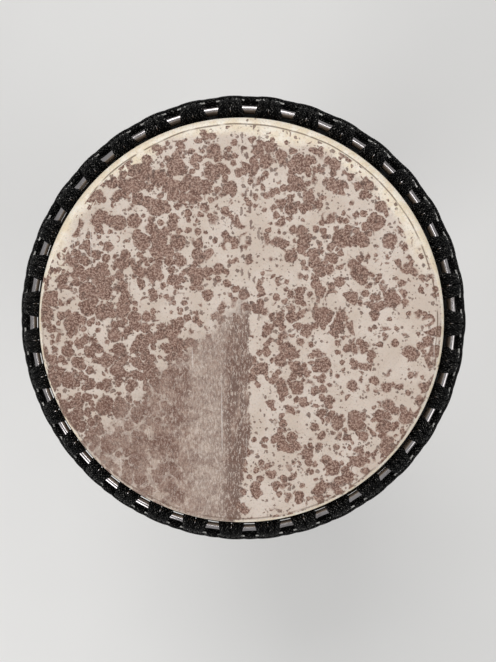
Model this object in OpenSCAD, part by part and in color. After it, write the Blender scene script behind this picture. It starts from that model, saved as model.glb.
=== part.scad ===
// Rope-tuned goblet hand drum (djembe), standing on its foot.
// Origin: centre of the foot, on the floor. +Z runs up the drum to the playing surface.
// Millimetres and degrees.

/* [Shell] */
// Height from the floor to the playing surface
drum_h = 620; // [600:1:640]
// Outer radius of the skin where it turns over the bearing edge
head_r = 166; // [164:0.5:166]
// Radius of the rounded bearing edge that the skin turns over
edge_r = 5; // [4:0.5:6]
// Outer radius of the neck, where the bowl meets the stem
neck_r = 76; // [74:1:80]
// Height of the neck
neck_z = 318; // [310:1:324]
// Outer radius of the foot
foot_r = 114; // [108:1:122]
// Radius of the throat inside the neck
throat_r = 60; // [56:1:62]
// Radius of the opening in the foot
foot_bore_r = 99; // [92:1:101]

/* [Skin and rings] */
// Thickness of the goatskin
skin_t = 1.2; // [0.8:0.1:1.4]
// Diameter of the steel rod that the rings are bent from
rod_d = 6; // [6:0.5:7]
// Centre-line radius of the crown ring
crown_r = 176.5; // [176.5:0.5:178]
// Depth of the crown ring below the playing surface
crown_drop = 22; // [20:0.5:23]
// Centre-line radius of the flesh ring inside the skin's fold
flesh_r = 172; // [172:0.5:173]
// Centre-line radius of the waist ring
waist_r = 95; // [95:0.5:98]
// Height of the waist ring
waist_z = 346; // [344:1:348]

/* [Ropes] */
// Diameter of the braided rope
rope_d = 4.8; // [4.2:0.1:4.8]
// Number of hitches on each ring
loops = 35; // [31:1:35]
// Height of the woven pull row
row_z = 432; // [426:1:440]
// Turns of spare rope wound round the neck
tail_turns = 3; // [2:1:3]

/* [Hidden] */

wood_colour = "#7a4a2b";
skin_colour = "#cbbcb2";
steel_colour = "#c9c9cc";
rope_colour = "#151515";

rope_r = rope_d / 2;
rod_r = rod_d / 2;
pitch = 360 / loops;
gap = 0.1;                                    // play between pieces that bear on each other
fold_gap = 0.25;                              // play of the flesh ring in the skin's fold
layer_gap = 0.3;                              // play between one layer of rope and the next
lie_gap = 0.9;                                // play under a rope that lies on the shell
rope_sides = 8;

crown_z = drum_h - crown_drop;
rest_gap = 0.4;                               // play between the crown hitches and the skin's fold
rods_apart = 2 * rod_r + rope_d + skin_t + fold_gap + rest_gap + gap / 2;
flesh_z = crown_z - sqrt(pow(rods_apart, 2) - pow(crown_r - flesh_r, 2));
edge_x = head_r - skin_t - edge_r;            // centre of the rounded bearing edge
edge_z = drum_h - skin_t - edge_r;

// ---- curves ----

function bezier(p, t) = pow(1 - t, 3) * p[0] + 3 * t * pow(1 - t, 2) * p[1]
    + 3 * t * t * (1 - t) * p[2] + pow(t, 3) * p[3];
function curve(p, steps) = [for (i = [0:steps]) bezier(p, i / steps)];
function arc(x, z, r, a0, a1, steps) = [for (i = [0:steps])
    let (a = a0 + (a1 - a0) * i / steps) [x + r * cos(a), z + r * sin(a)]];
function reversed(list) = [for (i = [len(list) - 1:-1:0]) list[i]];

// Outlines of the shell as radius and height, from the bottom up
stem_outside = curve([[foot_r, 0], [foot_r - 26, 90], [neck_r, 240], [neck_r, neck_z]], 14);
bowl_outside = curve([[neck_r, neck_z], [neck_r + 4, 372], [head_r + 13.5, 480],
    [edge_x + edge_r, edge_z]], 22);
stem_inside = curve([[foot_bore_r, 0], [foot_bore_r - 26, 90], [throat_r, 240], [throat_r, neck_z]], 14);
bowl_inside = curve([[throat_r, neck_z], [throat_r + 4, 378], [head_r + 2, 486],
    [edge_x - edge_r, edge_z]], 22);

// Height against outer radius of the shell, for laying ropes on it
shell_table = [for (p = concat(stem_outside, bowl_outside)) [p[1], p[0]]];
function shell_r(z) = lookup(z, shell_table);
function shell_slope(z) = (shell_r(z + 3) - shell_r(z - 3)) / 6;
// Centre-line radius of a rope lying on the shell at height z, with a number of ropes below it
function lying_r(z, layer = 0) = shell_r(z)
    + (rope_r + lie_gap + layer * (rope_d + layer_gap)) * sqrt(1 + pow(shell_slope(z), 2));

// ---- ropes ----

function unit(v) = v / norm(v);
// A point from its angle round the drum, its sideways shift in mm, its radius and its height
function at(a, s, r, z) = let (b = a + s / r * 180 / PI) [r * cos(b), r * sin(b), z];
// Directions at a point: "out" from the axis, "round" the drum, or "up"
function heading(p, way) = let (o = unit([p[0], p[1], 0]))
    way == "out" ? o : way == "round" ? [-o[1], o[0], 0] : [0, 0, 1];

// A tube of radius r along points; way is a direction that the points never run along
module tube(points, r, way, closed = false) {
    n = len(points);
    sides = rope_sides;
    rings = [for (i = [0:n - 1])
        let (before = points[closed ? (i + n - 1) % n : max(i - 1, 0)],
            after = points[closed ? (i + 1) % n : min(i + 1, n - 1)],
            t = unit(after - before),
            h = heading(points[i], way),
            u = unit(h - (h * t) * t),
            v = cross(t, u))
        for (k = [0:sides - 1]) points[i] + r * (cos(360 * k / sides) * u + sin(360 * k / sides) * v)];
    walls = [for (i = [0:(closed ? n - 1 : n - 2)], k = [0:sides - 1])
        let (a = i * sides, b = ((i + 1) % n) * sides, m = (k + 1) % sides) [a + k, b + k, b + m, a + m]];
    caps = closed ? [] : [[for (k = [0:sides - 1]) k],
        [for (k = [sides - 1:-1:0]) (n - 1) * sides + k]];
    polyhedron(rings, concat(walls, caps), convexity = 10);
}

// One turn of rope round a ring's rod, centred on the rod
module wrap() {
    rotate([90, 0, 0])
        rotate_extrude($fn = 48)
            translate([rod_r + rope_r + gap / 2, 0])
                circle(r = rope_r, $fn = 32);
}

// Wraps at the given sideways shifts, at every station of a ring
module hitches(ring_r, ring_z, shifts, turn) {
    for (i = [0:loops - 1], s = shifts)
        rotate([0, 0, turn + i * pitch + s / ring_r * 180 / PI])
            translate([ring_r, 0, ring_z])
                wrap();
}

// A hanging bight: two straight legs and a half turn
// Its plane passes through top and bend, and each of those is a radius and a height
module bight(top, bend, half_w) {
    span = bend - top;
    tilt = atan2(span[0], -span[1]);
    translate([top[0], 0, top[1]])
        rotate([0, -tilt, 0]) {
            for (side = [-1, 1])
                translate([0, side * half_w, -norm(span)])
                    cylinder(h = norm(span), r = rope_r, $fn = 32);
            translate([0, 0, -norm(span)])
                rotate([-90, 0, 90])
                    rotate_extrude(angle = 180, $fn = 48)
                        translate([half_w, 0])
                            circle(r = rope_r, $fn = 32);
        }
}

// ---- where the ropes meet ----

crown_shifts = [-7.9, -2.9, 2.9, 7.9];        // four turns in each crown hitch, in two pairs
waist_shifts = [-2.9, 2.9];                   // two turns in each waist hitch
crown_reach = 40;                             // from the crown ring down to the bend of its bights
waist_reach = 24;                             // from the waist ring up to the bend of its bights
bight_half_w = rope_d + 0.4;                  // a rope that hooks in just passes between the legs
crown_bight_top = [crown_r + 4.4, crown_z - 9.2];
crown_bight_bend = [lying_r(crown_z - crown_reach, 1) + 1, crown_z - crown_reach];
waist_bight_top = [waist_r + 3.6, waist_z + 10.9];
waist_bight_bend = [lying_r(waist_z + waist_reach, 1) + 1, waist_z + waist_reach];

// The middle of a bight's bend, as a radius and height
function bight_foot(top, bend) = bend + bight_half_w * unit(bend - top);
crown_foot = bight_foot(crown_bight_top, crown_bight_bend);
waist_foot = bight_foot(waist_bight_top, waist_bight_bend);
// A rope hooked through a bight: four points that pass over the bend from the inside to the outside
function hook(top, bend) = let (along = unit(bend - top),
        out = (along[1] < 0 ? -1 : 1) * [along[1], -along[0]],
        foot = bight_foot(top, bend),
        reach = bight_half_w / cos(30))
    [foot - reach * out,
        foot - reach / 2 * out - bight_half_w * along,
        foot + reach / 2 * out - bight_half_w * along,
        foot + reach * out];

// ---- pieces ----

module shell() {
    color(wood_colour)
        rotate_extrude($fn = 180)
            polygon(concat(stem_outside, bowl_outside,
                arc(edge_x, edge_z, edge_r, 15, 165, 10),
                reversed(bowl_inside), reversed(stem_inside)));
}

module head_skin() {
    inside = rod_r + fold_gap;
    color(skin_colour)
        rotate_extrude($fn = 180)
            polygon(concat([[0, drum_h]],
                arc(edge_x, edge_z, edge_r + skin_t, 90, 0, 10),
                arc(flesh_r, flesh_z, inside, 180, 390, 16),
                arc(flesh_r, flesh_z, inside + skin_t, 390, 180, 16),
                arc(edge_x, edge_z, edge_r + gap / 2, 0, 90, 10),
                [[0, drum_h - skin_t + gap / 2]]));
}

module ring(r, z) {
    translate([0, 0, z])
        rotate_extrude($fn = 180)
            translate([r, 0])
                circle(r = rod_r, $fn = 48);
}

module flesh_ring() {
    color(steel_colour) ring(flesh_r, flesh_z);
}

module crown_ring() {
    color(steel_colour) ring(crown_r, crown_z);
}

module waist_ring() {
    color(steel_colour) ring(waist_r, waist_z);
}

module crown_hitches() {
    color(rope_colour) hitches(crown_r, crown_z, crown_shifts, 0);
}

// The rope that runs from hitch to hitch outside the crown ring and arches over each one
module crown_run_rope() {
    over = [crown_r + rod_r + rope_r + 4, crown_z - 4.5];
    beside = [crown_r + rod_r + rope_r + 2, crown_z - 3];
    spacing = 2 * crown_r * PI / loops;
    stations = [[-10.4, over], [0, over], [10.4, over], [15, beside], [spacing - 15, beside]];
    color(rope_colour)
        tube([for (i = [0:loops - 1], p = stations) at(i * pitch, p[0], p[1][0], p[1][1])],
            rope_r, "up", closed = true);
}

module crown_loops() {
    color(rope_colour)
        for (i = [0:loops - 1])
            rotate([0, 0, i * pitch])
                bight(crown_bight_top, crown_bight_bend, bight_half_w);
}

module waist_hitches() {
    color(rope_colour) hitches(waist_r, waist_z, waist_shifts, pitch / 2);
}

// The rope that runs from hitch to hitch below the waist ring
module waist_run_rope() {
    under = 7.9;
    beside = 7.2;
    color(rope_colour)
        translate([0, 0, waist_z - under])
            rotate_extrude($fn = 180)
                translate([waist_r + beside, 0])
                    circle(r = rope_r, $fn = 32);
}

module waist_loops() {
    color(rope_colour)
        for (i = [0:loops - 1])
            rotate([0, 0, (i + 0.5) * pitch])
                mirror([0, 0, 1])
                    bight([waist_bight_top[0], -waist_bight_top[1]],
                        [waist_bight_bend[0], -waist_bight_bend[1]], bight_half_w);
}

// The main rope: down from a crown loop, across its neighbour at the pull row, through a waist loop
// and back up to the next crown loop
module tension_rope() {
    lead = 15;                                // height over which a strand swings round a bight
    side = rope_r + 0.5;
    top_z = crown_foot[1] - lead;
    bottom_z = waist_foot[1] + lead;
    in_row = 6;                               // half the height of a crossing
    cross_w = 1.8;                            // half its width
    function turn(a, points, z) = concat(
        [at(a, -side, lying_r(z), z)],
        [for (p = points) at(a, 0, p[0], p[1])],
        [at(a, side, lying_r(z) + 0.6, z)]);
    // From a crown loop at angle a to a crossing at angle b, on the side given by way
    function slope(a, b, way) = [for (f = [1 / 3, 2 / 3])
        let (z = top_z + f * (row_z + in_row - top_z))
        at(a + f * (b - a), way * ((1 - f) * side - f * cross_w), lying_r(z), z)];
    // The strand going down crosses outside the pull row, and the one going up crosses inside it
    function going_down(a, b) = concat(slope(a, b, 1), [
        at(b, -cross_w, lying_r(row_z + in_row, 2), row_z + in_row),
        at(b, cross_w, lying_r(row_z - in_row, 2), row_z - in_row)]);
    function going_up(a, b) = concat(slope(a, b, -1), [
        at(b, cross_w, lying_r(row_z + in_row), row_z + in_row),
        at(b, -cross_w, lying_r(row_z - in_row), row_z - in_row)]);
    color(rope_colour)
        tube([for (i = [0:loops - 1])
            let (a = i * pitch, b = a + pitch / 2, c = a + pitch)
            for (p = concat(turn(a, hook(crown_bight_top, crown_bight_bend), top_z),
                going_down(a, b),
                reversed(turn(b, hook(waist_bight_top, waist_bight_bend), bottom_z)),
                reversed(going_up(c, b)))) p],
            rope_r, "round", closed = true);
}

// The pull row: passes between the two strands at each crossing
module pull_row_rope() {
    color(rope_colour)
        tube([for (i = [0:loops - 1], f = [0, 0.25, 0.5, 0.75])
            let (swing = cos(360 * f))
            at((i + 0.5 + f) * pitch, 0, lying_r(row_z, 1) - 0.6 * (1 - swing), row_z)],
            rope_r, "up", closed = true);
}

// The spare end: down from the pull row between two columns of strands, over the waist ring
// and wound round the neck
tail_low_z = neck_z - 12;
function tail_z(turn) = tail_low_z + turn * (rope_d + 0.2);
function tail_r(turn) = shell_r(tail_z(turn)) + rope_r + lie_gap;
module rope_tail() {
    steps = 24;                               // rings to a turn
    column = -5 * pitch;                      // angle of the gap that it comes down in
    drop = [
        at(column, 0, lying_r(row_z, 2) - 0.6, row_z),
        at(column, 0, lying_r(row_z - 12, 1.7), row_z - 12),
        at(column, 0, lying_r(396, 1.5), 396),
        at(column, 0, waist_bight_bend[0] + 5.4, waist_bight_bend[1] + 3),
        at(column, 0, waist_bight_top[0] + 6.2, waist_bight_top[1]),
        at(column + 0.5, 0, waist_r + 13, waist_z - 2),
        at(column + 2, 0, waist_r + 13.2, waist_z - 9),
        at(column + 6, 0, waist_r + 9, waist_z - 17),
        at(column + 14, 0, waist_r + 1, waist_z - 28),
        at(column + 27, 0, tail_r(0) + 1.4, tail_low_z + 2),
        at(column + 40, 0, tail_r(0) + 0.4, tail_low_z + 0.4)];
    wound = [for (i = [0:tail_turns * steps])
        at(360 * i / steps, 0, tail_r(i / steps), tail_z(i / steps))];
    color(rope_colour)
        tube(concat(drop, wound), rope_r, "out");
}

// Stopper knot on the very end of the rope
module tail_knot() {
    knot_r = 4.6;
    knot_w = 7.6;
    color(rope_colour)
        rotate([0, 0, 5.5])
            translate([tail_r(tail_turns) + 3.2, 0, tail_z(tail_turns) + 3])
                rotate([90, 0, 0])
                    rotate_extrude($fn = 48)
                        intersection() {
                            circle(r = knot_r, $fn = 48);
                            translate([0, -knot_w / 2])
                                square([knot_r, knot_w]);
                        }
}

shell();
head_skin();
flesh_ring();
crown_ring();
waist_ring();
crown_hitches();
crown_run_rope();
crown_loops();
waist_hitches();
waist_run_rope();
waist_loops();
tension_rope();
pull_row_rope();
rope_tail();
tail_knot();
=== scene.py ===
"""Rope-tuned goblet drum: spotted goatskin head, bright rings, black braided rope and a wooden shell."""
import math
import random

import bpy
import numpy as np
from mathutils import Matrix, Vector


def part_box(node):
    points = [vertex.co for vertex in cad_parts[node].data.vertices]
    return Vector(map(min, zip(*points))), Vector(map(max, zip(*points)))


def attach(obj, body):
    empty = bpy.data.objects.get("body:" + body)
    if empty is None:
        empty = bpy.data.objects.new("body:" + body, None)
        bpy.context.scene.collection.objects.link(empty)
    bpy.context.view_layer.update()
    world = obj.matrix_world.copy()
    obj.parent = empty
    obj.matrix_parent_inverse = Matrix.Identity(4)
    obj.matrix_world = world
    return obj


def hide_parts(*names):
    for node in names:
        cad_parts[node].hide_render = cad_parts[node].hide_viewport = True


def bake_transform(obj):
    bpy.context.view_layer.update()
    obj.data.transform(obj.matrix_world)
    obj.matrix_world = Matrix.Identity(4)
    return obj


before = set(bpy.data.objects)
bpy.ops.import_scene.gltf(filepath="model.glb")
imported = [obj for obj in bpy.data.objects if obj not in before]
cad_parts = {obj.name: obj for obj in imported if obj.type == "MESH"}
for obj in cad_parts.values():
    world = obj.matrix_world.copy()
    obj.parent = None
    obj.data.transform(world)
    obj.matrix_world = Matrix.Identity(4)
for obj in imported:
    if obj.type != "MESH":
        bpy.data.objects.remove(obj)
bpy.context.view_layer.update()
random.seed(7)

MM = 0.001


# ---- sizes, read from the frame ----

def ring_size(node):
    """Centre-line radius, height and rod radius of a ring node."""
    low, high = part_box(node)
    rod = (high.z - low.z) / 2
    return high.x - rod, (high.z + low.z) / 2, rod


CROWN_R, CROWN_Z, ROD_R = ring_size("crown_ring")
FLESH_R, FLESH_Z, _ = ring_size("flesh_ring")
WAIST_R, WAIST_Z, _ = ring_size("waist_ring")
RUN_R, RUN_Z, ROPE_R = ring_size("waist_run_rope")
ROPE_D = 2 * ROPE_R
HEAD_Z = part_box("head_skin")[1].z
ROW_Z = (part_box("pull_row_rope")[0].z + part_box("pull_row_rope")[1].z) / 2
LOOPS = 35
PITCH = 2 * math.pi / LOOPS
SKIN_T = 1.2 * MM
EDGE_R = 5 * MM
HEAD_R = 166 * MM
EDGE_X = HEAD_R - SKIN_T - EDGE_R
EDGE_Z = HEAD_Z - SKIN_T - EDGE_R


def wall_split():
    """The shell's outside and inside walls as (heights, radii), split where the wall's middle runs."""
    points = np.array([v.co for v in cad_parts["shell"].data.vertices])
    radius = np.hypot(points[:, 0], points[:, 1])
    pairs = np.unique(np.round(np.stack([points[:, 2], radius], 1), 4), axis=0)
    middle = np.interp(pairs[:, 0], [0, 0.24, 0.318, 0.43, 0.50, 0.55, 0.58, pairs[-1, 0]],
        [0.1065, 0.0708, 0.068, 0.1165, 0.1458, 0.158, 0.161, EDGE_X])
    walls = []
    for side in (pairs[:, 1] >= middle, pairs[:, 1] < middle):
        chosen = pairs[side]
        walls.append((chosen[:, 0], chosen[:, 1]))
    return walls


(OUT_Z, OUT_R), (IN_Z, IN_R) = wall_split()


def shell_r(z):
    """Outer radius of the shell at height z."""
    return np.interp(z, OUT_Z, OUT_R)


def lying_r(z, layer=0.0):
    """Centre-line radius of a rope that lies on the shell at height z, over a number of other ropes."""
    slope = (shell_r(z + 3 * MM) - shell_r(z - 3 * MM)) / (6 * MM)
    return shell_r(z) + (ROPE_R + 0.5 * MM + layer * (ROPE_D + 0.3 * MM)) * np.sqrt(1 + slope**2)


# ---- camera ----

def make_camera():
    """Looks down on the head from a little beyond its top right."""
    distance = 0.600
    head = Vector((0, 0, HEAD_Z))
    eye = head + distance * Vector((0.055, 0.062, 1))
    aim = head + distance * Vector((0.0123, -0.0093, 0))
    data = bpy.data.cameras.new("camera")
    data.lens = 40.3
    data.clip_start = 0.01
    camera = bpy.data.objects.new("camera", data)
    bpy.context.scene.collection.objects.link(camera)
    forward = (aim - eye).normalized()
    right = forward.cross(Vector((0, 1, 0))).normalized()
    up = right.cross(forward)
    turn = Matrix((right, up, -forward)).transposed()
    camera.matrix_world = Matrix.Translation(eye) @ turn.to_4x4()
    bpy.context.scene.camera = camera


make_camera()


# ---- shader building ----

class Shader:
    """A material whose node tree is built with short calls. Lengths in it are millimetres."""

    def __init__(self, name):
        self.material = bpy.data.materials.new(name)
        self.material.use_nodes = True
        self.tree = self.material.node_tree
        self.tree.nodes.clear()
        self.bsdf = self.node("ShaderNodeBsdfPrincipled")
        output = self.node("ShaderNodeOutputMaterial")
        self.tree.links.new(self.bsdf.outputs["BSDF"], output.inputs["Surface"])
        place = self.node("ShaderNodeTexCoord")
        self.place = self.vector("MULTIPLY", place.outputs["Object"], (1000, 1000, 1000))
        self.uv = place.outputs["UV"]

    def shifted(self, place, noise, reach):
        """A place moved about by a coloured noise, by up to half of reach each way."""
        away = self.vector("SUBTRACT", noise, (0.5, 0.5, 0.5))
        return self.vector("ADD", place, self.vector("MULTIPLY", away, (reach, reach, reach)))

    def node(self, kind, **settings):
        made = self.tree.nodes.new(kind)
        for name, value in settings.items():
            setattr(made, name, value)
        return made

    def put(self, socket, value):
        """Links a socket to another, or sets its value."""
        if isinstance(value, bpy.types.NodeSocket):
            self.tree.links.new(value, socket)
        else:
            socket.default_value = value

    def set(self, **values):
        """Sets inputs of the surface shader; underscores stand for spaces."""
        for name, value in values.items():
            self.put(self.bsdf.inputs[name.replace("_", " ")], value)

    def math(self, operation, a, b=0.0, clamp=False):
        made = self.node("ShaderNodeMath", operation=operation, use_clamp=clamp)
        self.put(made.inputs[0], a)
        self.put(made.inputs[1], b)
        return made.outputs[0]

    def times(self, *values):
        result = values[0]
        for value in values[1:]:
            result = self.math("MULTIPLY", result, value)
        return result

    def most(self, *values):
        result = values[0]
        for value in values[1:]:
            result = self.math("MAXIMUM", result, value)
        return result

    def add(self, *values):
        result = values[0]
        for value in values[1:]:
            result = self.math("ADD", result, value)
        return result

    def less(self, a, b):
        return self.math("SUBTRACT", a, b)

    def vector(self, operation, a, b):
        made = self.node("ShaderNodeVectorMath", operation=operation)
        self.put(made.inputs[0], a)
        self.put(made.inputs[1], b)
        return made.outputs["Value" if operation == "LENGTH" else "Vector"]

    def axes(self, vector):
        made = self.node("ShaderNodeSeparateXYZ")
        self.put(made.inputs[0], vector)
        return made.outputs

    def noise(self, vector, size, detail=3.0, roughness=0.55, colour=False):
        """Noise whose lumps are about size millimetres across, from 0 to 1."""
        made = self.node("ShaderNodeTexNoise", noise_dimensions="3D")
        self.put(made.inputs["Vector"], vector)
        made.inputs["Scale"].default_value = 1 / size
        made.inputs["Detail"].default_value = detail
        made.inputs["Roughness"].default_value = roughness
        return made.outputs["Color" if colour else 0]

    def cells(self, vector, size, feature="F1", dimensions="3D"):
        """Cells about size mm across: distance to the nearest middle, and the cell's random colour."""
        made = self.node("ShaderNodeTexVoronoi", feature=feature, voronoi_dimensions=dimensions)
        self.put(made.inputs["Vector"], vector)
        made.inputs["Scale"].default_value = 1 / size
        return made.outputs["Distance"], made.outputs["Color"]

    def step(self, value, low, high, start=0.0, end=1.0):
        """Goes smoothly from start, where value is low, to end, where it is high."""
        made = self.node("ShaderNodeMapRange", interpolation_type="SMOOTHSTEP")
        self.put(made.inputs["Value"], value)
        self.put(made.inputs["From Min"], low)
        self.put(made.inputs["From Max"], high)
        self.put(made.inputs["To Min"], start)
        self.put(made.inputs["To Max"], end)
        return made.outputs["Result"]

    def mix(self, share, a, b):
        """Colour a, or b where share is 1."""
        made = self.node("ShaderNodeMix", data_type="RGBA", clamp_factor=True)
        self.put(made.inputs[0], share)
        self.put(made.inputs[6], a)
        self.put(made.inputs[7], b)
        return made.outputs[2]

    def bump(self, height, depth, under=None):
        """A normal whose height runs over depth millimetres."""
        made = self.node("ShaderNodeBump")
        made.inputs["Strength"].default_value = 1.0
        made.inputs["Distance"].default_value = depth * MM
        self.put(made.inputs["Height"], height)
        if under is not None:
            self.put(made.inputs["Normal"], under)
        return made.outputs[0]


def colour(red, green, blue):
    """A linear colour from screen values of 0 to 255."""
    def linear(v):
        v = v / 255
        return v / 12.92 if v <= 0.04045 else ((v + 0.055) / 1.055) ** 2.4
    return (linear(red), linear(green), linear(blue), 1.0)


# ---- materials ----

def goatskin():
    """Shaved goatskin: ragged blotches, a smeared patch, flecks along the spine and a clear rim, with
    painted light making the top brighter and painted shade along the crease and down the collar.
    """
    s = Shader("goatskin")
    x, y, z = s.axes(s.place)
    flat = s.vector("MULTIPLY", s.place, (1, 1, 0))
    radius = s.vector("LENGTH", flat, (0, 0, 0))
    wobble = s.noise(s.place, 6.0, 2.0, colour=True)
    fine_wobble = s.noise(s.place, 1.6, 2.0, colour=True)
    warped = s.shifted(s.place, wobble, 3.8)
    warped = s.shifted(warped, fine_wobble, 1.8)

    # Where the blotches crowd together and where the skin is clear; near the top the clear band is also
    # painted brighter cream and the rim wider, as painted light from above
    drift = s.noise(s.vector("ADD", s.place, (40, 10, 0)), 34.0, 1.0)
    clump = s.noise(s.vector("ADD", s.place, (-25, 60, 0)), 19.0, 1.0)
    crowd = s.add(0.55, s.times(s.less(drift, 0.5), 1.3), s.times(s.less(clump, 0.5), 1.8))
    low_left = s.times(s.step(x, -10.0, -80.0), s.step(y, 0.0, -80.0), 0.55)
    crowd = s.add(crowd, s.step(x, 0.0, -110.0, 0.0, 0.26), low_left)
    # The top side gets painted light: a brighter clear band and a wider cream rim
    top = s.step(y, 10.0, 90.0)
    clear = s.times(s.step(s.add(radius, s.times(s.less(drift, 0.5), 24.0)), 148.0, 158.0), top)
    edge = s.step(s.add(radius, s.times(top, 4.0)), 162.4, 163.8)
    spine = s.times(s.step(s.math("ABSOLUTE", s.less(x, 9.0)), 12.0, 5.0), s.step(y, -8.0, 8.0))
    crowd = s.add(crowd, s.step(y, 80.0, 112.0, 0.0, 0.36))
    crowd = s.less(crowd, s.add(s.times(clear, 0.95), s.times(edge, 0.9), s.times(spine, 0.35)))

    blotch, outline = None, None
    for size, small, large in ((14.6, 0.33, 0.55), (9.8, 0.33, 0.58), (6.5, 0.30, 0.56)):
        distance, chance = s.cells(s.vector("ADD", warped, (size * 3.3, size * 1.7, size)), size)
        chances = s.axes(chance)
        reach = s.add(small, s.times(chances[0], large - small))
        spot = s.step(s.less(distance, reach), 0.05, -0.05)
        spot = s.times(spot, s.step(s.less(crowd, chances[1]), -0.03, 0.03))
        ring = s.times(spot, s.step(s.less(reach, distance), 0.20, 0.06))
        blotch = spot if blotch is None else s.most(blotch, spot)
        outline = ring if outline is None else s.most(outline, ring)
    dot = None
    for size, reach in ((3.8, 0.52), (2.6, 0.46)):
        distance, chance = s.cells(s.vector("ADD", warped, (size, 60, 9)), size)
        chances = s.axes(chance)
        spot = s.step(s.less(distance, s.times(chances[0], reach)), 0.08, -0.08)
        spot = s.times(spot, s.step(s.less(s.add(0.20, s.times(crowd, 0.40)), chances[1]), -0.03, 0.03))
        dot = spot if dot is None else s.most(dot, spot)

    # Flecks drawn out along the spine
    drawn = s.vector("MULTIPLY", warped, (1.0, 0.38, 1.0))
    distance, chance = s.cells(drawn, 3.4)
    fleck = s.times(s.step(distance, 0.42, 0.30), s.step(s.axes(chance)[0], 0.45, 0.5), spine)

    # The smeared patch: its ragged right edge runs along the spine, and its top slopes down to the left
    streak = s.noise(s.vector("MULTIPLY", s.place, (1.0, 0.10, 1.0)), 3.0, 3.0, 0.65)
    patchy = s.noise(s.vector("ADD", s.place, (5, 5, 5)), 11.0, 3.0, 0.6)
    ragged = s.times(s.less(s.noise(s.place, 11.0, 3.0, 0.65), 0.5), 20.0)
    billow = s.times(s.less(s.noise(s.place, 24.0, 3.0, 0.6), 0.5), 50.0)
    right_side = s.add(x, ragged, s.step(y, -92.0, -150.0, 0.0, 9.0))
    above = s.add(s.less(y, s.add(s.times(x, 0.85), 16.0)), billow)
    smear = s.times(
        s.step(z, HEAD_Z / MM - 5, HEAD_Z / MM - 1.5),
        s.step(right_side, 9.5, 7.0),
        s.step(above, 14.0, -18.0),
        s.step(s.add(x, billow), -90.0, -22.0, 0.52, 0.95))

    # Grain inside the blotches and the skin's own fine tone
    grain = s.noise(s.place, 1.5, 2.0, 0.8)
    coarse = s.noise(s.place, 9.0, 2.0)
    tone = s.noise(s.vector("ADD", s.place, (0, 77, 0)), 26.0, 2.0)
    pale = s.mix(s.step(tone, 0.35, 0.65), colour(209, 195, 183), colour(199, 183, 169))
    cream = s.mix(s.step(coarse, 0.35, 0.65), colour(238, 228, 212), colour(228, 212, 186))
    # Painted light: the clear band and the wider rim at the top are painted in the brighter cream
    pale = s.mix(s.most(s.times(clear, 0.9), edge), pale, cream)
    pale = s.mix(s.times(s.step(grain, 0.50, 0.70), 0.45), pale, colour(172, 153, 140))
    brown = s.mix(s.step(grain, 0.40, 0.62), colour(97, 66, 54), colour(158, 126, 110))
    worn = s.mix(grain, colour(120, 88, 76), colour(168, 136, 120))
    brown = s.mix(s.times(s.step(coarse, 0.42, 0.62), 0.45), brown, worn)
    brown = s.mix(s.times(outline, s.step(grain, 0.62, 0.42), 0.45), brown, colour(92, 66, 56))
    brown = s.mix(s.times(s.step(x, 0.0, -90.0), s.step(y, 20.0, -90.0), 0.35), brown, colour(104, 72, 60))
    shown = s.mix(s.times(blotch, s.step(grain, 0.45, 0.66, 1.0, 0.70)), pale, brown)
    dark = s.mix(s.step(grain, 0.40, 0.60), colour(84, 62, 53), colour(136, 111, 98))
    shown = s.mix(s.times(dot, 0.85), shown, dark)
    shown = s.mix(s.times(fleck, 0.85), shown, colour(112, 88, 78))
    hair = s.noise(s.vector("MULTIPLY", warped, (1.0, 0.30, 1.0)), 1.25, 2.0, 0.7)
    taupe = s.mix(s.step(patchy, 0.38, 0.62), colour(112, 82, 70), colour(166, 143, 129))
    light = s.times(s.step(s.add(x, ragged), -48.0, -32.0), s.step(s.add(x, ragged), -6.0, -14.0))
    taupe = s.mix(s.times(light, 0.60), taupe, colour(176, 159, 147))
    patchy_x = s.add(x, s.times(s.less(patchy, 0.5), 26.0))
    band = s.times(s.step(patchy_x, -18.0, -8.0), s.step(streak, 0.70, 0.44))
    taupe = s.mix(s.times(band, 0.88), taupe, colour(102, 77, 66))
    taupe = s.mix(s.times(s.step(hair, 0.50, 0.64), 0.66), taupe, colour(206, 191, 179))
    taupe = s.mix(s.times(s.step(hair, 0.48, 0.34), 0.55), taupe, colour(96, 72, 62))
    shown = s.mix(s.times(smear, s.step(blotch, 0.0, 1.0, 1.0, 0.80)), shown, taupe)

    # A crease where the skin leaves the bearing edge, painted darker as painted shade, and a few scratches
    wander = s.times(s.less(s.noise(s.place, 45.0, 1.0), 0.5), 3.0)
    crease = s.step(s.math("ABSOLUTE", s.less(s.add(radius, wander), 159.6)), 0.75, 0.25)
    broken = s.step(s.noise(s.place, 18.0, 2.0), 0.36, 0.5)
    crease = s.times(crease, s.step(s.add(y, s.times(x, 0.4)), 20.0, 70.0), broken)
    low_crease = s.step(s.math("ABSOLUTE", s.less(s.add(radius, s.times(wander, 0.3)), 161.6)), 0.9, 0.3)
    crease = s.most(crease, s.times(low_crease, s.step(y, 20.0, -40.0, 0.0, 0.7), broken))
    # Painted shade: the crease line is painted dark brown
    shown = s.mix(s.times(crease, 0.75), shown, colour(96, 70, 50))
    beside = s.vector("ADD", s.place, (13, 0, 0))
    scratch = s.noise(s.vector("MULTIPLY", beside, (1.0, 0.02, 1.0)), 2.2, 1.0)
    scratch = s.times(s.step(scratch, 0.745, 0.765), s.step(s.noise(s.place, 40.0, 1.0), 0.5, 0.6))
    shown = s.mix(s.times(scratch, 0.45), shown, colour(232, 222, 214))
    # Painted shade: the collar down the side of the skin is painted dark, as if in shade
    side = s.step(z, HEAD_Z / MM - 16, HEAD_Z / MM - 7, 1.0, 0.0)
    shown = s.mix(s.times(side, 0.8), shown, colour(104, 84, 64))

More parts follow.
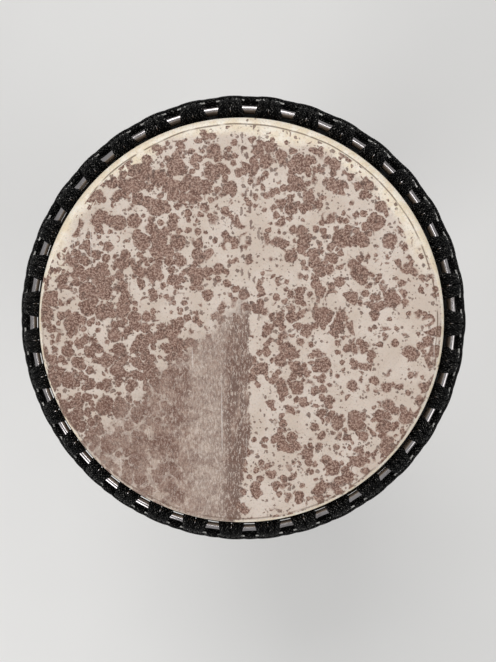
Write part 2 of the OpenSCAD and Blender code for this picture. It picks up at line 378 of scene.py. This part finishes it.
    pores, _ = s.cells(s.place, 0.9)
    lift = s.bump(s.step(pores, 0.0, 0.5), 0.05)
    lift = s.bump(grain, 0.10, lift)
    lift = s.bump(s.less(1.0, s.most(crease, s.times(scratch, 0.4))), 0.35, lift)
    s.set(Base_Color=shown, Roughness=s.step(s.most(blotch, smear), 0.0, 1.0, 0.42, 0.56), Normal=lift)
    s.set(Specular_IOR_Level=0.38, Subsurface_Weight=0.06, Subsurface_Scale=0.002)
    s.bsdf.inputs["Subsurface Radius"].default_value = (1.0, 0.55, 0.35)
    return s.material


def rope(shoulder_highlights):
    """Black braided polyester with painted shade in its valleys and painted highlights on its crests; one
    kind also has pale arcs painted at the shoulders of the crown hitches as glints.
    """
    s = Shader("rope_silver_thread" if shoulder_highlights else "rope")
    along, round_it, _ = s.axes(s.uv)
    strands = 12 * math.pi
    pull = 6.2
    left = s.math("SINE", s.add(s.times(along, pull), s.times(round_it, strands)))
    right = s.math("SINE", s.less(s.times(along, pull), s.times(round_it, strands)))
    weave = s.math("MAXIMUM", left, right)
    valley = s.step(s.times(left, right), -0.25, 0.55)
    thread = s.math("SINE", s.add(s.times(along, pull * 4), s.times(round_it, strands * 5)))
    fuzz = s.noise(s.place, 0.9, 2.0, 0.7)
    dust = s.noise(s.place, 14.0, 3.0, 0.6)
    # Painted shade and highlight: the braid's valleys are painted near black and pale glints are painted on
    # its crests
    shown = s.mix(s.step(weave, 0.1, 1.0), colour(1, 1, 1), colour(19, 19, 20))
    crest_highlight = s.times(s.step(fuzz, 0.57, 0.66), s.step(weave, 0.5, 1.0))
    shown = s.mix(s.times(crest_highlight, 0.75), shown, colour(158, 155, 149))
    shown = s.mix(s.times(s.step(dust, 0.60, 0.8), 0.16), shown, colour(60, 55, 50))
    if shoulder_highlights:
        # Painted highlight: thin pale arcs at the hitch shoulders, painted as glints
        x, y, _ = s.axes(s.place)
        shoulder = s.math("COSINE", s.times(s.math("ARCTAN2", y, x), LOOPS))
        pale_arc_highlight = s.times(
            s.step(s.math("ABSOLUTE", s.less(round_it, 0.935)), 0.045, 0.030),
            s.step(s.math("ABSOLUTE", s.less(shoulder, 0.10)), 0.75, 0.65),
            s.step(s.noise(s.place, 16.0, 1.0), 0.42, 0.46))
        shown = s.mix(pale_arc_highlight, shown, colour(225, 223, 218))
    lift = s.bump(s.add(s.times(weave, 0.8), s.times(valley, 0.3)), 0.55)
    lift = s.bump(thread, 0.03, lift)
    lift = s.bump(fuzz, 0.08, lift)
    s.set(Base_Color=shown, Roughness=s.step(fuzz, 0.3, 0.7, 0.50, 0.36), Normal=lift)
    s.set(Specular_IOR_Level=0.05)
    return s.material


def steel():
    """Polished rod with faint drawing lines and a few dull marks."""
    s = Shader("steel")
    marks = s.noise(s.place, 16.0, 4.0, 0.6)
    hair = s.noise(s.vector("MULTIPLY", s.place, (1, 1, 14)), 5.0, 3.0, 0.6)
    shown = s.mix(s.step(marks, 0.45, 0.75), colour(184, 179, 179), colour(146, 140, 138))
    roughness = s.add(s.step(marks, 0.4, 0.8, 0.07, 0.20), s.times(hair, 0.06))
    s.set(Base_Color=shown, Metallic=1.0, Roughness=roughness, Normal=s.bump(hair, 0.02))
    return s.material


def dark_ring_shade_paint():
    """Black paint on the hidden ring, chipped a little; its black also serves as painted shade in the gap
    between the skin's collar and the crown ring.
    """
    s = Shader("dark_ring_shade_paint")
    chips = s.noise(s.place, 5.0, 4.0, 0.7)
    shown = s.mix(s.step(chips, 0.68, 0.74), colour(16, 16, 17), colour(96, 84, 74))
    s.set(Base_Color=shown, Roughness=s.step(chips, 0.3, 0.7, 0.38, 0.6), Normal=s.bump(chips, 0.08))
    return s.material


def wood(inside):
    """Oiled hardwood with long grain, pores, and tool marks left on the inside."""
    s = Shader("wood_inside" if inside else "wood")
    z = s.axes(s.place)[2]
    slow = s.noise(s.vector("MULTIPLY", s.place, (1, 1, 0.25)), 90.0, 2.0, colour=True)
    bent = s.shifted(s.place, slow, 60)
    long_way = s.vector("MULTIPLY", bent, (1.0, 0.8, 0.055))
    figure = s.noise(long_way, 9.0, 5.0, 0.6)
    bands = s.math("SINE", s.times(s.noise(s.vector("MULTIPLY", bent, (1, 0.7, 0.09)), 30.0, 2.0), 46.0))
    fibre = s.noise(s.vector("MULTIPLY", s.place, (1.0, 1.0, 0.03)), 0.9, 3.0, 0.7)
    pores = s.noise(s.vector("MULTIPLY", s.place, (1.0, 1.0, 0.06)), 1.3, 2.0, 0.5)
    dark, warm, light = colour(72, 38, 20), colour(126, 72, 38), colour(168, 108, 62)
    shown = s.mix(s.step(figure, 0.32, 0.62), dark, warm)
    shown = s.mix(s.times(s.step(bands, -0.2, 0.9), 0.38), shown, light)
    shown = s.mix(s.times(s.step(fibre, 0.5, 0.75), 0.35), shown, dark)
    shown = s.mix(s.times(s.step(pores, 0.62, 0.70), 0.75), shown, colour(38, 20, 12))
    wear = s.noise(s.place, 55.0, 4.0, 0.6)
    low = s.step(z, 10.0, 0.0)
    shown = s.mix(s.times(s.most(s.step(wear, 0.58, 0.75), low), 0.30), shown, light)
    if inside:
        shown = s.mix(0.45, shown, colour(96, 66, 44))
    lift = s.bump(s.less(1.0, s.step(pores, 0.60, 0.72)), 0.18)
    lift = s.bump(fibre, 0.07, lift)
    roughness = s.add(s.step(wear, 0.35, 0.7, 0.36, 0.52), 0.18 if inside else 0.0)
    s.set(Base_Color=shown, Roughness=roughness, Normal=lift)
    if not inside:
        s.set(Coat_Weight=0.22, Coat_Roughness=0.28)
    return s.material


# ---- meshes ----

def piece(name, points, faces, materials, uv=None, face_material=None):
    """A smooth-shaded object from arrays of points and faces."""
    mesh = bpy.data.meshes.new(name)
    mesh.from_pydata([tuple(p) for p in np.asarray(points, float)], [], [tuple(map(int, f)) for f in faces])
    mesh.update()
    mesh.shade_smooth()
    if uv is not None:
        mesh.uv_layers.new(name="UVMap").data.foreach_set("uv", np.asarray(uv, np.float32).ravel())
    for material in materials:
        mesh.materials.append(material)
    if face_material is not None:
        mesh.polygons.foreach_set("material_index", np.asarray(face_material, np.int32))
    made = bpy.data.objects.new(name, mesh)
    bpy.context.scene.collection.objects.link(made)
    return made


def smooth(points, spacing, closed):
    """Points along a Catmull-Rom curve through the given ones, about spacing apart."""
    p = np.asarray(points, float)
    n = len(p)
    if closed:
        index = (np.arange(-1, n + 2)) % n
    else:
        index = np.clip(np.arange(-1, n + 1), 0, n - 1)
    q = p[index]
    fine = []
    for i in range(n if closed else n - 1):
        a, b, c, d = q[i], q[i + 1], q[i + 2], q[i + 3]
        count = max(2, int(np.linalg.norm(c - b) / spacing * 2) + 2)
        t = np.linspace(0, 1, count, endpoint=False)[:, None]
        fine.append(0.5 * (2 * b + (c - a) * t + (2 * a - 5 * b + 4 * c - d) * t**2
            + (3 * b - a - 3 * c + d) * t**3))
    fine = np.concatenate(fine + [p[:1] if closed else p[-1:]])
    run = np.concatenate([[0], np.cumsum(np.linalg.norm(np.diff(fine, axis=0), axis=1))])
    count = max(3, int(round(run[-1] / spacing)))
    at = np.linspace(0, run[-1], count + 1)[: count if closed else count + 1]
    return np.stack([np.interp(at, run, fine[:, k]) for k in range(3)], 1)


def unit(v):
    return v / np.linalg.norm(v, axis=-1, keepdims=True)


def tube(path, way, closed, sides=12, radius=ROPE_R, relief=0.0):
    """A braided rope along path: its points, faces and the UVs that run along and round it."""
    n = len(path)
    if closed:
        tangent = unit(np.roll(path, -1, 0) - np.roll(path, 1, 0))
    else:
        tangent = unit(np.gradient(path, axis=0))
    if way == "up":
        heading = np.tile([0.0, 0.0, 1.0], (n, 1))
    else:
        out = unit(path * [1, 1, 0])
        heading = out if way == "out" else np.stack([-out[:, 1], out[:, 0], 0 * out[:, 0]], 1)
    u = unit(heading - (heading * tangent).sum(1, keepdims=True) * tangent)
    v = np.cross(tangent, u)
    steps = np.linalg.norm(np.diff(path, axis=0, append=path[:1]), axis=1)
    run = np.concatenate([[0], np.cumsum(steps)])
    turn = np.arange(sides) / sides
    angle = 2 * math.pi * turn
    along = run[:n, None] / ROPE_R
    braid = np.maximum(np.sin(along * 1.5 + 4 * angle), np.sin(along * 1.5 - 4 * angle))
    swell = 1 + relief * braid - relief
    ring = np.cos(angle)[None, :, None] * u[:, None] + np.sin(angle)[None, :, None] * v[:, None]
    points = path[:, None] + radius * swell[..., None] * ring
    rows = n if closed else n - 1
    i, k = np.meshgrid(np.arange(rows), np.arange(sides), indexing="ij")
    j, m = (i + 1) % n, (k + 1) % sides
    faces = np.stack([i * sides + k, j * sides + k, j * sides + m, i * sides + m], -1).reshape(-1, 4)
    u0, u1 = run[i] / ROPE_R, run[i + 1] / ROPE_R
    v0, v1 = k / sides, (k + 1) / sides
    uv = np.stack([np.stack([u0, v0], -1), np.stack([u1, v0], -1), np.stack([u1, v1], -1),
        np.stack([u0, v1], -1)], 2).reshape(-1, 2)
    faces = [list(f) for f in faces]
    if not closed:
        faces.append(list(range(sides))[::-1])
        faces.append([(n - 1) * sides + s for s in range(sides)])
        uv = np.concatenate([uv, np.zeros((2 * sides, 2))])
    return points.reshape(-1, 3), faces, uv


def rope_piece(name, strands, body, *nodes, material=None, **shape):
    """One piece made of several ropes. Each strand is (path, heading, closed)."""
    points, faces, uvs, start = [], [], [], 0
    for path, way, closed in strands:
        p, f, uv = tube(path, way, closed, **shape)
        points.append(p)
        faces.extend([[v + start for v in one] for one in f])
        uvs.append(uv)
        start += len(p)
    made = piece(name, np.concatenate(points), faces, [material or ROPE], np.concatenate(uvs))
    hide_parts(*nodes)
    if body == "stretches":
        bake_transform(made)
    else:
        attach(made, body)


def around(angle, side, radius, height):
    """A point from its angle round the drum, its shift to one side, its radius and its height."""
    turn = angle + side / radius
    return np.array([radius * math.cos(turn), radius * math.sin(turn), height])


# ---- ropes ----

SHIFTS = (-7.9 * MM, -2.9 * MM, 2.9 * MM, 7.9 * MM)
WAIST_SHIFTS = (-2.9 * MM, 2.9 * MM)
WRAP_R = ROD_R + ROPE_R + 0.15 * MM
BIGHT_W = ROPE_D + 0.4 * MM


def wraps(ring_r, ring_z, angle, shifts, flare):
    """The turns of one hitch: spread towards the drum, closed up outside, with the middle ones bulging."""
    made = []
    for shift in shifts:
        bulge = 0.8 * MM if len(shifts) > 2 and abs(shift) < 4 * MM else 0.0
        lean = random.uniform(-0.14, 0.14) * MM
        slip = random.uniform(-0.10, 0.10) * MM
        path = []
        for step in range(20):
            a = 2 * math.pi * step / 20
            spread = shift * (0.95 - flare * math.cos(a)) + lean * math.sin(a) + slip
            out = ring_r + WRAP_R * math.cos(a) + bulge * max(0.0, math.cos(a))
            path.append(around(angle, spread, out, ring_z + WRAP_R * math.sin(a)))
        made.append((smooth(path, 1.1 * MM, True), "round", True))
    return made


def flat_to_point(angle, side, spot):
    return around(angle, side, spot[0], spot[1])


def bight_ends(kind):
    """Where a bight starts and where its bend is centred, as radius and height."""
    if kind == "crown":
        top = np.array([CROWN_R + 4.4 * MM, CROWN_Z - 9.2 * MM])
        bend_z = CROWN_Z - 40 * MM
    else:
        top = np.array([WAIST_R + 3.6 * MM, WAIST_Z + 10.9 * MM])
        bend_z = WAIST_Z + 24 * MM
    bend = np.array([lying_r(bend_z, 1) + 1 * MM, bend_z])
    return top, bend


def bight(angle, kind):
    """A loop that hangs from a hitch; its ends tuck in under the turns."""
    top, bend = bight_ends(kind)
    along = unit(bend - top)
    ring = np.array([CROWN_R, CROWN_Z]) if kind == "crown" else np.array([WAIST_R, WAIST_Z])
    root = ring + (top - ring) * 0.52
    path = [flat_to_point(angle, -BIGHT_W * 0.8, root), flat_to_point(angle, -BIGHT_W, top)]
    path.append(flat_to_point(angle, -BIGHT_W * random.uniform(0.96, 1.03), (top + bend) / 2))
    for step in range(7):
        a = math.pi * step / 6
        spot = bend + BIGHT_W * math.sin(a) * along
        path.append(flat_to_point(angle, -BIGHT_W * math.cos(a), spot))
    path.append(flat_to_point(angle, BIGHT_W * random.uniform(0.96, 1.03), (top + bend) / 2))
    path += [flat_to_point(angle, BIGHT_W, top), flat_to_point(angle, BIGHT_W * 0.8, root)]
    return smooth(path, 1.4 * MM, False), "out", False


def hook(angle, kind):
    """The rope hooked through a bight, from the inside to the outside."""
    top, bend = bight_ends(kind)
    along = unit(bend - top)
    out = np.array([along[1], -along[0]]) * (-1 if along[1] < 0 else 1)
    foot = bend + BIGHT_W * along
    path = []
    for a in (180, 145, 110, 70, 35, 0):
        reach = BIGHT_W * 1.06
        spot = foot + reach * math.cos(math.radians(a)) * out - reach * math.sin(math.radians(a)) * along
        path.append(flat_to_point(angle, 0, spot))
    return path, foot


def tension_path():
    """The main rope, all the way round: crown loop, crossing, waist loop, crossing, next crown loop."""
    lead = 15 * MM
    side = ROPE_R + 0.5 * MM
    cross_w, in_row = 1.8 * MM, 6 * MM
    path = []
    for i in range(LOOPS):
        a, b, c = i * PITCH, (i + 0.5) * PITCH, (i + 1) * PITCH
        over, crown_foot = hook(a, "crown")
        under, waist_foot = hook(b, "waist")
        top_z, low_z = crown_foot[1] - lead, waist_foot[1] + lead

        def strand(start, end, way):
            made = []
            for f in (0.25, 0.5, 0.75):
                z = top_z + f * (ROW_Z + in_row - top_z)
                shift = way * ((1 - f) * side - f * cross_w)
                made.append(around(start + f * (end - start), shift, lying_r(z), z))
            return made

        path.append(around(a, -side, lying_r(top_z), top_z))
        path += over
        path.append(around(a, side, lying_r(top_z) + 0.6 * MM, top_z))
        path += strand(a, b, 1)
        path.append(around(b, -cross_w, lying_r(ROW_Z + in_row, 1.9), ROW_Z + in_row))
        path.append(around(b, cross_w, lying_r(ROW_Z - in_row, 1.9), ROW_Z - in_row))
        path.append(around(b, side, lying_r(low_z) + 0.6 * MM, low_z))
        path += under[::-1]
        path.append(around(b, -side, lying_r(low_z), low_z))
        path.append(around(b, -cross_w, lying_r(ROW_Z - in_row), ROW_Z - in_row))
        path.append(around(b, cross_w, lying_r(ROW_Z + in_row), ROW_Z + in_row))
        path += strand(c, b, -1)[::-1]
    path = smooth(path, 2.0 * MM, True)
    radius = np.hypot(path[:, 0], path[:, 1])
    floor = lying_r(path[:, 2]) - 0.4 * MM
    grow = np.maximum(radius, floor) / radius
    return path * np.stack([grow, grow, np.ones_like(grow)], 1)


def run_path():
    """The rope that runs outside the crown ring and arches over each hitch."""
    arch = ((-10.6, 8.5, -3.8), (-6.6, 9.2, -4.6), (0, 9.5, -5.0), (6.6, 9.2, -4.6), (10.6, 8.5, -3.8),
        (13.4, 8.0, -1.8), (15.8, 7.8, -0.9))
    path = []
    for i in range(LOOPS):
        lift = random.uniform(-0.2, 0.2)
        for s, r, z in arch:
            path.append(around(i * PITCH, s * MM, CROWN_R + r * MM, CROWN_Z + (z + lift) * MM))
        path.append(around((i + 1) * PITCH, -13.4 * MM, CROWN_R + 8.0 * MM, CROWN_Z - 1.8 * MM))
    return smooth(path, 1.1 * MM, True)


def lead_path(i):
    """The rope that leads from one hitch to the next, against the low outer side of the crown ring."""
    path = []
    for start, s in ((i, 7.9), (i, 11.0), (i + 0.5, 0), (i + 1, -11.0), (i + 1, -7.9)):
        sag = random.uniform(-0.15, 0.15)
        path.append(around(start * PITCH, s * MM, CROWN_R + (4.0 + sag) * MM, CROWN_Z - (4.0 + sag) * MM))
    return smooth(path, 1.4 * MM, False)


def row_path():
    path = []
    for i in range(LOOPS * 4):
        swing = math.cos(math.pi / 2 * i)
        path.append(around((i / 4 + 0.5) * PITCH, 0, lying_r(ROW_Z, 1) - 0.6 * MM * (1 - swing), ROW_Z))
    return smooth(path, 2.0 * MM, True)


NECK_Z = 318 * MM
TAIL_TURNS = 3
TAIL_Z = NECK_Z - 12 * MM


def tail_point(turn):
    z = TAIL_Z + turn * (ROPE_D + 0.2 * MM)
    return around(2 * math.pi * turn, 0, shell_r(z) + ROPE_R + 0.3 * MM, z)


TAIL_COLUMN = -5 * PITCH                      # the gap between strands that the spare end comes down in
OVER_ROW = 1.86                               # ropes under the spare end where it crosses the pull row


def tail_hook():
    """The start of the spare end: up behind the pull row and over it."""
    path = []
    bend = ((-8, 0.0), (-3, 0.0), (2.5, 0.1), (5.0, 0.75), (3.6, 1.5), (0, OVER_ROW), (-4, 1.82))
    for rise, layer in bend:
        z = ROW_Z + rise * MM
        path.append(around(TAIL_COLUMN, 0, lying_r(z, layer), z))
    return smooth(path, 1.2 * MM, False)


def tail_path():
    """The spare end: down from the pull row, over the waist ring and wound round the neck."""
    top, bend = bight_ends("waist")
    neck_r = shell_r(TAIL_Z) + ROPE_R
    low_z = 396 * MM                          # where it lies between the strands, just above the waist
    steps = 24
    drop = ((0, lying_r(ROW_Z, OVER_ROW), ROW_Z),
        (0, lying_r(ROW_Z - 12 * MM, 1.7), ROW_Z - 12 * MM),
        (0, lying_r(low_z, 1.5), low_z),
        (0, bend[0] + 5.4 * MM, bend[1] + 3 * MM),
        (0, top[0] + 6.2 * MM, top[1]),
        (0.5, WAIST_R + 13 * MM, WAIST_Z - 2 * MM),
        (2, WAIST_R + 13.2 * MM, WAIST_Z - 9 * MM),
        (6, WAIST_R + 9 * MM, WAIST_Z - 17 * MM),
        (14, WAIST_R + 1 * MM, WAIST_Z - 28 * MM),
        (27, neck_r + 1.5 * MM, TAIL_Z + 2 * MM),
        (40, neck_r + 0.6 * MM, TAIL_Z + 0.4 * MM))
    path = [around(TAIL_COLUMN + math.radians(a), 0, r, z) for a, r, z in drop]
    path += [tail_point(i / steps) for i in range(TAIL_TURNS * steps + 1)]
    return smooth(path, 1.6 * MM, False)


def knot_path():
    """A tight overhand knot on the end of the tail."""
    low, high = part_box("tail_knot")
    centre = np.array((low + high) / 2)
    size, steps = 0.72 * MM, 36
    path = []
    for step in range(steps):
        t = 2 * math.pi * step / steps
        x = math.sin(t) + 2 * math.sin(2 * t)
        z = math.cos(t) - 2 * math.cos(2 * t)
        path.append(centre + size * np.array([x, -math.sin(3 * t) * 1.1, z]))
    return smooth(path, 0.8 * MM, True)


def make_ropes():
    """Every rope, in the black braid."""
    crown = [one for i in range(LOOPS) for one in wraps(CROWN_R, CROWN_Z, i * PITCH, SHIFTS, 0.13)]
    crown += [(lead_path(i), "up", False) for i in range(LOOPS)]
    rope_piece("crown_hitch_rope", crown, "crown", "crown_hitches", sides=16,
        radius=ROPE_R + 0.12 * MM)
    rope_piece("crown_running_rope", [(run_path(), "up", True)], "crown", "crown_run_rope",
        material=rope(shoulder_highlights=True), sides=20, radius=ROPE_R + 0.3 * MM)
    rope_piece("crown_loop_rope", [bight(i * PITCH, "crown") for i in range(LOOPS)], "crown", "crown_loops")
    waist = [one for i in range(LOOPS)
        for one in wraps(WAIST_R, WAIST_Z, (i + 0.5) * PITCH, WAIST_SHIFTS, 0.04)]
    rope_piece("waist_hitch_rope", waist, "body", "waist_hitches")
    run = [around(2 * math.pi * i / 280, 0, RUN_R, RUN_Z) for i in range(280)]
    rope_piece("waist_running_rope", [(np.array(run), "up", True)], "body", "waist_run_rope")
    loops = [bight((i + 0.5) * PITCH, "waist") for i in range(LOOPS)]
    rope_piece("waist_loop_rope", loops, "body", "waist_loops")
    rope_piece("main_rope", [(tension_path(), "round", True)], "stretches", "tension_rope", sides=10)
    rope_piece("pull_row", [(row_path(), "up", True)], "stretches", "pull_row_rope")
    tail = [(tail_path(), "out", False), (tail_hook(), "round", False)]
    rope_piece("spare_rope", tail, "stretches", "rope_tail")
    rope_piece("end_knot", [(knot_path(), "round", True)], "body", "tail_knot", radius=1.9 * MM)


# ---- goatskin head ----

def arc(x, z, r, start, end, count):
    angles = np.radians(np.linspace(start, end, count))
    return [(x + r * math.cos(a), z + r * math.sin(a)) for a in angles]


def between(start, end, parts):
    """The points that split the straight line from start to end into equal parts."""
    start, end = np.array(start), np.array(end)
    return [tuple(start + (end - start) * i / parts) for i in range(1, parts)]


def make_head():
    """The skin: flat over the bowl, round the bearing edge, down the collar and up round the flesh ring."""
    inside = ROD_R + 0.25 * MM
    flat = [(EDGE_X * (i / 46) ** 0.8, HEAD_Z) for i in range(1, 46)]
    top = arc(EDGE_X, EDGE_Z, EDGE_R + SKIN_T, 90, 0, 14)
    fold_in = arc(FLESH_R, FLESH_Z, inside, 180, 385, 16)
    fold_out = arc(FLESH_R, FLESH_Z, inside + SKIN_T, 385, 180, 16)
    under = arc(EDGE_X, EDGE_Z, EDGE_R + 0.05 * MM, 0, 90, 7)
    collar = between(top[-1], fold_in[0], 8)
    back = between(fold_out[-1], under[0], 4)
    below = [(EDGE_X * (1 - i / 8), HEAD_Z - SKIN_T) for i in range(1, 8)]
    profile = np.array(flat + top + collar + fold_in + fold_out + back + under + below)
    segments = LOOPS * 18
    angle = np.arange(segments) * 2 * math.pi / segments
    radius, height = profile[:, 0][:, None], profile[:, 1][:, None]

    # Waves: the head is never quite flat, and the collar is drawn in where the hitches pull
    x, y = radius * np.cos(angle), radius * np.sin(angle)
    on_top = np.clip((EDGE_X - radius) / (20 * MM), 0, 1) * (height > HEAD_Z - 4 * MM)
    swell = 0.16 * np.sin(x * 41 + 0.8) * np.sin(y * 33 + 1.9) + 0.10 * np.sin(x * 90 + y * 50)
    height = height + swell * MM * on_top - 0.16 * MM * on_top
    crease = np.exp(-(((radius - 159.6 * MM) / (0.9 * MM)) ** 2)) * (height > HEAD_Z - 3 * MM)
    height = height - crease * (0.14 + 0.10 * np.sin(angle * 2 - 0.4)) * MM
    on_collar = ((height < EDGE_Z) & (height > FLESH_Z - 1 * MM) & (radius < FLESH_R)).astype(float)
    drop = np.clip((EDGE_Z - height) / (EDGE_Z - FLESH_Z), 0, 1) * on_collar
    pull = 0.25 * np.cos(angle * 2 * LOOPS) + 0.2 * np.sin(angle * 23) - 0.25
    radius = radius + drop * (1 - drop) * 1.1 * MM * pull

    points = np.stack([radius * np.cos(angle), radius * np.sin(angle), height + 0 * angle], -1)
    points = points.reshape(-1, 3)
    rows = len(profile)
    i, k = np.meshgrid(np.arange(rows - 1), np.arange(segments), indexing="ij")
    m = (k + 1) % segments
    near, far = i * segments, (i + 1) * segments
    faces = np.stack([near + k, near + m, far + m, far + k], -1)
    faces = [list(f[::-1]) for f in faces.reshape(-1, 4)]
    top_mid, low_mid = len(points), len(points) + 1
    last = (rows - 1) * segments
    points = np.concatenate([points, [[0, 0, HEAD_Z], [0, 0, HEAD_Z - SKIN_T]]])
    faces += [[top_mid, k, (k + 1) % segments] for k in range(segments)]
    faces += [[low_mid, last + (k + 1) % segments, last + k] for k in range(segments)]
    skin = piece("goatskin_head", points, faces, [goatskin()])
    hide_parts("head_skin")
    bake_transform(skin)


# ---- wooden shell ----

def make_shell():
    """The shell: the frame's own walls, with turned grooves, a rounded foot and adze marks inside."""
    grooves = ((30, 1.6, 1.6), (36, 1.6, 1.6), (42, 1.6, 1.6), (262, 1.4, 1.3), (268, 1.4, 1.3))

    def wall(heights, radii, count, close=()):
        """Points along a wall, evenly spaced, with closer ones within 5 mm of some heights."""
        run = np.concatenate([[0], np.cumsum(np.hypot(np.diff(heights), np.diff(radii)))])
        at = [np.linspace(0, run[-1], count)]
        for height in close:
            at.append(np.interp(height * MM, heights, run) + np.arange(-5, 5.1, 0.5) * MM)
        at = np.unique(np.round(np.concatenate(at), 5))
        return np.stack([np.interp(at, run, radii), np.interp(at, run, heights)], 1)

    keep_out, keep_in = OUT_Z <= EDGE_Z, IN_Z <= EDGE_Z
    outside = wall(OUT_Z[keep_out], OUT_R[keep_out], 180, [groove[0] for groove in grooves])
    inside = wall(IN_Z[keep_in], IN_R[keep_in], 90)[::-1]
    rim = np.array(arc(EDGE_X, EDGE_Z, EDGE_R, 10, 170, 12))
    profile = np.concatenate([outside, rim, inside])
    count_out = len(outside) + len(rim)
    segments = 300
    angle = np.arange(segments) * 2 * math.pi / segments
    radius, height = profile[:, 0][:, None] + 0 * angle, profile[:, 1][:, None] + 0 * angle
    row = np.arange(len(profile))[:, None]
    out = row < len(outside)

    # Turned grooves, and the soft round of the foot
    for middle, width, depth in grooves:
        radius = radius - out * depth * MM * np.exp(-(((height / MM - middle) / width) ** 2))
    foot = np.clip(1 - height / (5 * MM), 0, 1)
    radius = radius - out * 2.2 * MM * foot**2 + (~out) * 1.5 * MM * foot**2
    # Hand-cut facets
    cut = np.sin(angle * 11 + np.sin(height * 30) * 1.3) * np.sin(height * 55 + np.cos(angle * 5) * 1.5)
    radius = radius - out * 0.14 * MM * (1 + cut)
    adze = np.abs(np.sin(angle * 19 + height * 40)) * np.abs(np.sin(height * 95 + 2 * np.sin(angle * 7)))
    radius = radius + (row >= count_out) * 1.1 * MM * adze * np.clip((EDGE_Z - height) / 0.02, 0, 1)
    points = np.stack([radius * np.cos(angle), radius * np.sin(angle), height], -1).reshape(-1, 3)
    rows = len(profile)
    i, k = np.meshgrid(np.arange(rows), np.arange(segments), indexing="ij")
    j, m = (i + 1) % rows, (k + 1) % segments
    near, far = i * segments, j * segments
    faces = np.stack([near + k, near + m, far + m, far + k], -1).reshape(-1, 4)
    inner = (i.reshape(-1) >= count_out).astype(int)
    woods = [wood(False), wood(True)]
    shell = piece("carved_shell", points, [list(f) for f in faces], woods, face_material=inner)
    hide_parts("shell")
    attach(shell, "body")


# ---- studio ----

def make_studio():
    """A pale floor, a soft key from above the head's top edge, and wide fills."""
    floor = piece("floor", [(-30, -30, 0), (30, -30, 0), (30, 30, 0), (-30, 30, 0)], [(0, 1, 2, 3)], [])
    cloth = Shader("floor_paint")
    tone = cloth.noise(cloth.place, 300.0, 2.0)
    cloth.set(Base_Color=cloth.mix(tone, colour(228, 227, 225), colour(222, 221, 219)), Roughness=0.85)
    floor.data.materials.append(cloth.material)
    world = bpy.data.worlds.new("studio")
    bpy.context.scene.world = world
    world.use_nodes = True
    background = world.node_tree.nodes["Background"]
    background.inputs["Color"].default_value = (0.84, 0.85, 0.86, 1)
    background.inputs["Strength"].default_value = 0.50
    target = Vector((0, 0, HEAD_Z * 0.8))
    lamps = (
        ("key", (-0.3, 1.5, 2.3), 1.1, 25),
        ("fill", (1.7, -0.6, 2.0), 1.4, 11),
        ("low_fill", (-1.4, -1.7, 1.4), 1.4, 23),
        ("top", (0.15, 0.15, 2.8), 0.4, 2.5))
    for name, place, size, power in lamps:
        data = bpy.data.lights.new(name, "AREA")
        data.size = size
        data.energy = power
        light = bpy.data.objects.new(name, data)
        light.location = place
        light.rotation_mode = "QUATERNION"
        light.rotation_quaternion = (target - light.location).to_track_quat("-Z", "Y")
        bpy.context.scene.collection.objects.link(light)
    bpy.context.scene.view_settings.view_transform = "Standard"


ROPE = rope(shoulder_highlights=False)
STEEL = steel()
make_studio()
make_shell()
make_head()
make_ropes()
for ring, finish in (("crown_ring", STEEL), ("waist_ring", STEEL), ("flesh_ring", dark_ring_shade_paint())):
    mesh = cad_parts[ring].data
    mesh.materials.clear()
    mesh.materials.append(finish)
